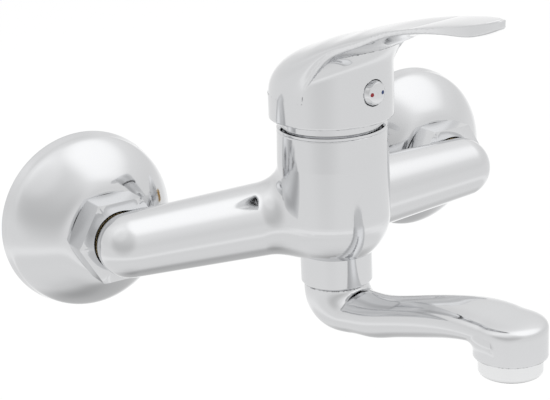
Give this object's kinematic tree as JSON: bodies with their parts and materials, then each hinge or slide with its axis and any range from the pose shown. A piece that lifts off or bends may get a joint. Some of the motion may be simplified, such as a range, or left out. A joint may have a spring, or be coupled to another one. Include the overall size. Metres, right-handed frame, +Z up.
{
  "type": "basin mixer tap",
  "caption": "Wall-mounted basin mixer tap with one hooded lever, swept arms, round wall covers and a short swivel spout with a flow straightener.",
  "frame": {"origin": "on the finished wall, midway between the two inlets, at the height of the union nuts", "axes": "+X along the wall to the right, +Y into the wall, the tap standing out towards -Y, +Z up"},
  "size_m": [0.2182, 0.1744, 0.1305],
  "materials": {
    "chrome": "polished chrome plate",
    "brass": "turned, unplated",
    "steel": "ground stainless",
    "ceramic": "lapped",
    "cartridge_plastic": "moulded",
    "guide_plastic": "moulded",
    "rubber": "moulded, matt",
    "red_enamel": "gloss",
    "blue_enamel": "gloss"
  },
  "bodies": {
    "root": {"mixer_body": "chrome", "rosette_left": "chrome", "rosette_right": "chrome", "eccentric_union_left": "brass", "eccentric_union_right": "brass", "union_seat_left": "brass", "union_seat_right": "brass", "union_washer_left": "rubber", "union_washer_right": "rubber", "cartridge_base": "cartridge_plastic", "cartridge_seals": "rubber", "fixed_disc": "ceramic", "cartridge_housing": "cartridge_plastic", "cartridge_nut": "brass", "trim_ring": "chrome", "spout_collar": "chrome", "spout_slide_ring": "guide_plastic"},
    "nut_left": {"union_nut_left": "chrome"},
    "nut_right": {"union_nut_right": "chrome"},
    "turret": {"cartridge_turret": "cartridge_plastic", "pivot_pin": "steel"},
    "lever": {"lever_stem": "brass", "lever_handle": "chrome", "handle_screw": "steel", "indicator_plug": "chrome", "hot_dot": "red_enamel", "cold_dot": "blue_enamel"},
    "disc": {"disc_carrier": "cartridge_plastic", "moving_disc": "ceramic"},
    "spout": {"spout": "chrome", "spout_snap_ring": "steel", "spout_o_rings": "rubber", "aerator_housing": "chrome", "aerator_insert": "guide_plastic", "aerator_gasket": "rubber"}
  },
  "joints": [
    {"name": "temperature_turn", "type": "hinge", "parent": "root", "child": "turret", "pos_m": [0, -0.06, 0.034], "axis": [0, 0, 1], "range_deg": [-60, 40]},
    {"name": "flow_lift", "type": "hinge", "parent": "turret", "child": "lever", "pos_m": [0, -0.06, 0.034], "axis": [-0.9848, -0.1736, 0], "range_deg": [0, 25]},
    {"name": "disc_slide", "type": "slide", "parent": "turret", "child": "disc", "axis": [0.1736, -0.9848, 0], "range_m": [0, 0.0044]},
    {"name": "spout_swivel", "type": "hinge", "parent": "root", "child": "spout", "pos_m": [0, -0.06, -0.02], "axis": [0, 0, 1], "range_deg": [-100, 80]},
    {"name": "nut_left_spin", "type": "hinge", "parent": "root", "child": "nut_left", "pos_m": [-0.075, -0.027, 0], "axis": [0, -1, 0], "continuous": true},
    {"name": "nut_right_spin", "type": "hinge", "parent": "root", "child": "nut_right", "pos_m": [0.075, -0.027, 0], "axis": [0, -1, 0], "continuous": true}
  ],
  "couplings": [
    {"joint": "disc_slide", "follows": "flow_lift", "m_per_rad": 0.01}
  ]
}
